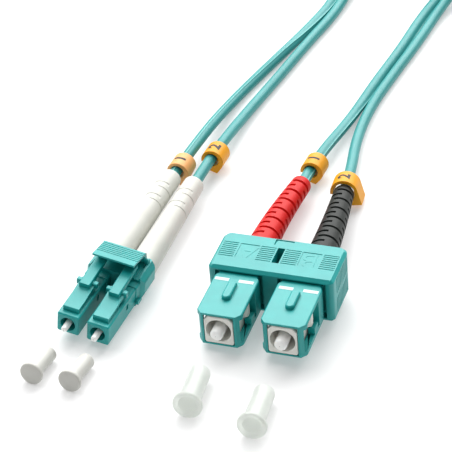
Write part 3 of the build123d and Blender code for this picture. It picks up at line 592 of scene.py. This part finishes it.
# dust caps: how each lies, as in part.py
CAP_FLANGE = 1.0
CAPS = {
    "lc": {
        "places": [(-23.83, -35.59, 5.0), (-16.23, -35.29, 4.9)],
        "length": 7.8, "flange_r": 2.3, "tube_r": 1.6, "bore_r": 0.64, "depth": 6.0,
        "material": "white_cap", "round": 0.35, "dish": 0.0,
    },
    "sc": {
        "places": [(7.07, -35.19, -5.3), (19.97, -36.79, -3.8)],
        "length": 10.8, "flange_r": 2.87, "tube_r": 2.05, "bore_r": 1.27, "depth": 8.6,
        "material": "clear_cap", "round": 0.7, "dish": 0.35,
    },
}
for family, cap in CAPS.items():
    flange_r, tube_r, length = cap["flange_r"], cap["tube_r"], cap["length"]
    for number, (x, y, yaw) in zip(("1", "2"), cap["places"]):
        tilt = math.atan2(flange_r - tube_r, length - CAP_FLANGE - 0.1)
        level = Vector((math.sin(math.radians(yaw)), math.cos(math.radians(yaw)), 0))
        rear = level * math.cos(tilt) - Vector((0, 0, 1)) * math.sin(tilt)
        height = flange_r * math.cos(tilt) + (CAP_FLANGE - 0.2) * math.sin(tilt)
        dish = cap["dish"]
        rim = flange_r * 0.72
        profile = [(0, dish), (rim - 0.25, dish), (rim, 0.03)] if dish else [(0, 0)]
        profile += [(flange_r - 0.3, 0.0), (flange_r - 0.12, 0.06), (flange_r - 0.03, 0.16)]
        profile += [(flange_r, 0.32), (flange_r, CAP_FLANGE - 0.34)]
        profile += [(flange_r - 0.05, CAP_FLANGE - 0.16), (flange_r - 0.2, CAP_FLANGE - 0.03)]
        profile += [(tube_r + 0.22, CAP_FLANGE + 0.02), (tube_r + 0.05, CAP_FLANGE + 0.12)]
        profile += [(tube_r, CAP_FLANGE + 0.35)]
        end_round = cap["round"]
        for step in range(7):
            a = math.pi / 2 * step / 6
            profile.append(
                (
                    tube_r - end_round * (1 - math.cos(a)),
                    length - end_round * (1 - math.sin(a)),
                )
            )
        bore_r = cap["bore_r"]
        profile += [(bore_r + 0.06, length), (bore_r, length - 0.1)]
        profile += [(bore_r, length - cap["depth"]), (0, length - cap["depth"])]
        name = f"{family}_dust_cap_{number}"
        mesh = turned(f"{name}_moulded", mm(x, y, height), rear, profile, steps=56)
        piece = add_object(f"{name}_moulded", mesh, name, [cap["material"]])
        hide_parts(name)


# ---------------------------------------------------------------- boots
SLOT_EDGE_SHARE = 0.3  # of a slot's width, over which its side slopes
BOOT_STEPS = 120


def boot(name, node, points, sizes, slots, material):
    """A bent, tapered strain relief with slots cut part of the way round.

    points are its bent axis, slots are (distance, middle, arc) with angles in degrees
    from the right towards up.
    """
    radii, length, bores = sizes["radii"], sizes["length"], sizes["bores"]
    width, depth = sizes["slot_width"], sizes["slot_depth"]
    front_round, end_round = sizes["front_round"], sizes["end_round"]
    line = spline_line(name, points)
    reach = [0.0]
    for before, after in zip(line, line[1:]):
        reach.append(reach[-1] + (after - before).length * 1000)
    frames = frames_along(line)

    def place(distance):
        """The axis's point and its right and up at a distance in millimetres."""
        share = distance / length * reach[-1]
        index = max(i for i in range(len(reach) - 1) if reach[i] <= max(share, 0))
        part = (share - reach[index]) / (reach[index + 1] - reach[index])
        here, there = frames[index], frames[index + 1]
        return tuple(a.lerp(b, part) for a, b in zip(here, there))

    def radius_at(distance):
        share = (distance - 2.0) / (length - 2.0)
        radius = radii[0] + (radii[1] - radii[0]) * max(0.0, share)
        if distance < front_round:
            radius -= front_round - math.sqrt(front_round**2 - (front_round - distance) ** 2)
        if distance > length - end_round:
            over = distance - (length - end_round)
            radius -= end_round - math.sqrt(max(0.0, end_round**2 - over**2))
        return radius

    stations = [0.0]
    stations += [front_round * (1 - math.cos(math.pi / 2 * k / 3)) for k in (1, 2, 3)]
    stations += [length - end_round * (1 - math.sin(math.pi / 2 * k / 4)) for k in range(5)]
    stations += [1.0 + k * 0.8 for k in range(int((length - 2) / 0.8))]
    edge = width * SLOT_EDGE_SHARE
    slot_edges = (-width / 2 - edge, -width / 2, width / 2, width / 2 + edge)
    for distance, middle, arc in slots:
        stations += [distance + offset for offset in slot_edges]
    stations = sorted(set(round(s, 4) for s in stations if 0 <= s <= length))
    kept = [stations[0]]
    for station in stations[1:]:
        near = any(
            abs(station - (d + offset)) < 1e-3 for d, _, _ in slots for offset in slot_edges
        )
        inside = any(abs(station - d) < width / 2 + edge - 1e-3 for d, _, _ in slots)
        if near or not inside:
            if station - kept[-1] > 0.02:
                kept.append(station)
    steps = BOOT_STEPS
    bm = bmesh.new()
    rings = []
    for distance in kept:
        point, along, right, up = place(distance)
        ring = []
        for step in range(steps):
            angle = 360 * step / steps
            radius = radius_at(distance)
            for where, middle, arc in slots:
                away = abs((angle - middle + 180) % 360 - 180)
                if abs(distance - where) <= width / 2 + 1e-3 and away <= arc / 2:
                    radius -= depth
                    break
            a = math.radians(angle)
            outward = right * math.cos(a) + up * math.sin(a)
            ring.append(bm.verts.new(point + outward * radius / 1000))
        rings.append(ring)
    for ring, following in zip(rings, rings[1:]):
        for i in range(steps):
            j = (i + 1) % steps
            bm.faces.new((ring[i], ring[j], following[j], following[i]))
    # the bores: from the front in steps, and out at the rear round the cable
    inner = []
    start = 0.0
    for bore_r, end in bores:
        for distance in (start, end):
            point, along, right, up = place(min(max(distance, 0.0), length))
            ring = [
                bm.verts.new(
                    point
                    + (right * math.cos(math.radians(360 * k / steps))
                       + up * math.sin(math.radians(360 * k / steps))) * bore_r / 1000
                )
                for k in range(steps)
            ]
            inner.append(ring)
        start = end
    chain = [rings[0]] + inner + [rings[-1]]
    for ring, following in zip(chain, chain[1:]):
        for i in range(steps):
            j = (i + 1) % steps
            bm.faces.new((ring[i], following[i], following[j], ring[j]))
    bmesh.ops.recalc_face_normals(bm, faces=bm.faces)
    mesh = bpy.data.meshes.new(name)
    bm.to_mesh(mesh)
    bm.free()
    mesh.set_sharp_from_angle(angle=math.radians(38))
    piece = add_object(name, mesh, "plugs", [material])
    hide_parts(node)
    return piece


def boot_axis(head, x, y, inward, down):
    """A boot's direction and its front, as in part.py."""
    across, dip = math.radians(inward), math.radians(down)
    rear = head.y * math.cos(across) * math.cos(dip) + head.x * math.sin(across) * math.cos(dip)
    return head.at(x, y, 0), rear - head.z * math.sin(dip)


LC_BOOT_TURNS = {"1": (0.0, 0.0), "2": (-1.9, 0.0)}
SC_BOOT_TURNS = {"1": (1.5, 4.4), "2": (-5.5, 5.9)}
BENDS = {"lc_1": 0.0, "lc_2": 0.0, "sc_1": -0.5, "sc_2": 0.25}
LC_BOOT_LENGTH, SC_BOOT_LENGTH = 33.0, 28.7
LC_BOOT_SIZES = {
    "length": LC_BOOT_LENGTH, "radii": (2.85, 2.2), "front_round": 0.3, "end_round": 0.4,
    "slot_width": 0.38, "slot_depth": 0.1, "bores": [(1.75, 5.6), (1.2, LC_BOOT_LENGTH)],
}
SC_BOOT_SIZES = {
    "length": SC_BOOT_LENGTH, "radii": (3.05, 2.15), "front_round": 0.3, "end_round": 0.5,
    "slot_width": 0.48, "slot_depth": 0.5, "bores": [(2.43, 3.2), (1.2, SC_BOOT_LENGTH)],
}
LC_BOOT_FRONT, SC_BOOT_FRONT = 18.4, 24.3  # along the head
LC_RING_PLACES = [(21.6, "side"), (23.4, "top"), (26.2, "side"), (28.0, "top")]
SC_RING_START, SC_RING_PITCH, SC_RING_COUNT = 4.3, 2.0, 12
SC_RING_ANGLES = [(150, 330), (60, 240)]


def bent_axis(foot, rear, length, bend, head):
    """The boot's axis with a slight bulge across the head, in mid length."""
    points = []
    for share in (0.0, 0.25, 0.5, 0.75, 1.0):
        bulge = bend * math.sin(math.pi * share)
        points.append(foot + rear * mm(length * share) + head.x * mm(bulge))
    return points


lc_slots = []
for distance, kind in LC_RING_PLACES:
    for middle in (118, 298) if kind == "top" else (44, 224):
        lc_slots.append((distance, middle, 136 if kind == "top" else 104))
sc_slots = []
for ring in range(SC_RING_COUNT):
    for middle in SC_RING_ANGLES[ring % 2]:
        sc_slots.append((SC_RING_START + SC_RING_PITCH * ring, middle, 120))
SC_BOOT_MATERIALS = {"1": "red_boot", "2": "black_boot"}
for number in ("1", "2"):
    foot, rear = boot_axis(LC, LC_AXES[number], LC_BOOT_FRONT, *LC_BOOT_TURNS[number])
    boot(
        f"lc_boot_{number}_bent", f"lc_boot_{number}",
        bent_axis(foot, rear, LC_BOOT_LENGTH, BENDS[f"lc_{number}"], LC),
        LC_BOOT_SIZES, lc_slots, "white_boot",
    )
    foot, rear = boot_axis(SC, SC_AXES[number], SC_BOOT_FRONT, *SC_BOOT_TURNS[number])
    boot(
        f"sc_boot_{number}_bent", f"sc_boot_{number}",
        bent_axis(foot, rear, SC_BOOT_LENGTH, BENDS[f"sc_{number}"], SC),
        SC_BOOT_SIZES, sc_slots, SC_BOOT_MATERIALS[number],
    )
black_boot_foot, black_boot_rear = foot, rear


# ---------------------------------------------------------------- number rings and letters
def lettering(text, size, depth, weight=0.0):
    """A generic sans numeral or letter as a mesh: x along the reading way, z its height."""
    curve = bpy.data.curves.new(f"glyph_{text}", "FONT")
    curve.body = text
    curve.size = mm(size)
    curve.align_x = "CENTER"
    curve.align_y = "CENTER"
    curve.extrude = mm(depth)
    curve.offset = mm(weight)
    curve.resolution_u = 6
    holder = bpy.data.objects.new(f"glyph_{text}", curve)
    bpy.context.scene.collection.objects.link(holder)
    bpy.context.view_layer.update()
    mesh = bpy.data.meshes.new_from_object(holder)
    bpy.data.objects.remove(holder)
    bpy.data.curves.remove(curve)
    bm = bmesh.new()
    bm.from_mesh(mesh)
    bmesh.ops.remove_doubles(bm, verts=bm.verts, dist=1e-6)
    bmesh.ops.triangulate(bm, faces=bm.faces)
    for _ in range(3):
        long_edges = [e for e in bm.edges if e.calc_length() > mm(0.3)]
        if long_edges:
            bmesh.ops.subdivide_edges(bm, edges=long_edges, cuts=1)
            bmesh.ops.triangulate(bm, faces=bm.faces)
    bm.to_mesh(mesh)
    bm.free()
    return mesh


def route_middle(key, run, along=0.0):
    """A point that far past the middle of a leg's run, and the way back to its plug."""
    before, after = mm(*ROUTES[key][run]), mm(*ROUTES[key][run + 1])
    back = (before - after).normalized()
    return (before + after) / 2 - back * mm(along), back


# node: middle, way back, hang, outer radius, numeral, material
MARKERS = {
    "lc_marker_1": (*route_middle("lc_1", 0, -0.2), (0.4, 0.35), 2.5, "1", "peach_marker"),
    "lc_marker_2": (*route_middle("lc_2", 1, 1.2), (0.4, 0.35), 2.5, "2", "yellow_marker"),
    "sc_marker_1": (*route_middle("sc_1", 1), (0.4, 0.15), 2.5, "1", "yellow_marker"),
    "sc_marker_2": (
        black_boot_foot + black_boot_rear * mm(SC_BOOT_LENGTH + 1.8),
        -black_boot_rear, (0.0, -0.08), 2.95, "2", "yellow_marker",
    ),
}
NUMERAL_TURN = math.radians(-4)
NUMERAL_SIZE = 3.6
for node, (middle, back, drop, outer_r, text, material) in MARKERS.items():
    across = Vector((0, 0, 1)).cross(back).normalized()
    if node == "sc_marker_2":  # it stands on the boot, which leans with the head
        across = (SC.x - back * SC.x.dot(back)).normalized()
    up = back.cross(across)
    centre = middle + across * mm(drop[0]) - up * mm(drop[1])
    ring = softened(node, 0.14, material)
    outer_r = mm(outer_r)
    mesh = lettering(text, NUMERAL_SIZE, 0.02, weight=0.13)
    for vertex in mesh.vertices:
        reading, height, lift = vertex.co
        angle = NUMERAL_TURN - height / outer_r
        radial = across * math.sin(angle) + up * math.cos(angle)
        vertex.co = centre - back * reading + radial * (outer_r + lift)
    add_object(f"{node}_numeral", mesh, "plugs", ["marker_ink"], smooth_faces=False)

LETTERS = {"A": SC_AXES["1"], "B": SC_AXES["2"]}
LETTER_SIZE, LETTER_PLACE, LETTER_HEIGHT = 6.0, 18.95, 4.85
for text, x in LETTERS.items():
    mesh = lettering(text, LETTER_SIZE, 0.05)
    for vertex in mesh.vertices:
        reading, height, lift = (value * 1000 for value in vertex.co)
        vertex.co = SC.at(x - reading, LETTER_PLACE - height, LETTER_HEIGHT + lift)
    add_object(f"clip_letter_{text}", mesh, "sc_grip", ["aqua_housing"], False)


def plate(name, head, corners, low, high, body, material):
    """A flat plate from its corners in the head's x and y, with a fine bevel."""
    bm = bmesh.new()
    base = [bm.verts.new(head.at(x, y, low)) for x, y in corners]
    top = [bm.verts.new(head.at(x, y, high)) for x, y in corners]
    bm.faces.new(base[::-1])
    bm.faces.new(top)
    for i in range(len(corners)):
        j = (i + 1) % len(corners)
        bm.faces.new((base[i], base[j], top[j], top[i]))
    bmesh.ops.bevel(
        bm, geom=bm.edges[:], offset=mm(0.04), segments=2, affect="EDGES", profile=0.5
    )
    mesh = bpy.data.meshes.new(name)
    bm.to_mesh(mesh)
    bm.free()
    return add_object(name, mesh, body, [material])


MARK_START, MARK_END = 10.5, 11.38  # along the head
MARK_LOW, MARK_TOP = 3.4, 3.74
SC_MARKS = {
    "1": {"left": (-4.1, -1.25), "right": (0.7, 3.72)},
    "2": {"left": (-3.85, -1.0), "right": (1.0, 4.0)},
}
for number, marks in SC_MARKS.items():
    for side, spans in marks.items():
        first, last = (SC_AXES[number] + across for across in spans)
        corners = [
            (first, MARK_START), (last, MARK_START), (last, MARK_END), (first, MARK_END),
        ]
        plate(
            f"sc_mark_{number}_{side}", SC, corners, MARK_LOW, MARK_TOP, "sc_grip",
            "white_mark",
        )

# ---------------------------------------------------------------- looks of the CAD nodes that stay
STAYING = {
    "lc_flange": "brass_collar", "sc_flange": "brass_collar", "lc_spring": "steel",
    "sc_spring": "steel", "lc_crimp_ring": "steel", "sc_crimp_ring": "steel",
    "lc_rear_body": "white_plastic", "sc_rear_body": "white_plastic",
    "lc_cable_end": "aqua_jacket", "sc_cable_end": "aqua_jacket",
}
for stem, material in STAYING.items():
    for number in ("1", "2"):
        node = frame["nodes"][f"{stem}_{number}"]
        node.data.materials.clear()
        node.data.materials.append(MATERIALS[material])
tie = softened("coil_tie", 0.12, "black_tie")

for number, (cord, line, out) in CORDS.items():
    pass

# ---------------------------------------------------------------- floor and light
bpy.context.scene.view_settings.view_transform = "Standard"
FLOOR_REACH = 3.0
floor_mesh = bpy.data.meshes.new("floor")
corners = [(-1, -1, 0), (1, -1, 0), (1, 1, 0), (-1, 1, 0)]
floor_mesh.from_pydata([Vector(corner) * FLOOR_REACH for corner in corners], [], [(0, 1, 2, 3)])
floor = bpy.data.objects.new("floor", floor_mesh)
bpy.context.scene.collection.objects.link(floor)
paper = Nodes("paper_floor")
paper.set(
    Base_Color=(0.6, 0.6, 0.6, 1), Roughness=0.9, Specular_IOR_Level=0.05,
    Emission_Color=(1, 1, 1, 1), Emission_Strength=0.34,
)
floor_mesh.materials.append(paper.material)

world = bpy.data.worlds.new("studio")
bpy.context.scene.world = world
world.use_nodes = True
world.node_tree.nodes["Background"].inputs["Color"].default_value = (1, 1, 1, 1)
world.node_tree.nodes["Background"].inputs["Strength"].default_value = 0.3


LIGHT_TARGET = Vector((0, 0.02, 0))


def area_light(name, place, width, height, power):
    """A soft box, in metres and watts, that faces the target."""
    light = bpy.data.objects.new(name, bpy.data.lights.new(name, "AREA"))
    light.data.shape = "RECTANGLE"
    light.data.size = width
    light.data.size_y = height
    light.data.energy = power
    light.location = place
    aim = LIGHT_TARGET - light.location
    light.rotation_euler = aim.to_track_quat("-Z", "Y").to_euler()
    bpy.context.scene.collection.objects.link(light)


area_light("back_box", (-0.08, 0.72, 0.60), 1.15, 0.7, 16.0)
area_light("key_box", (-0.50, 0.20, 0.90), 0.8, 0.8, 8.5)
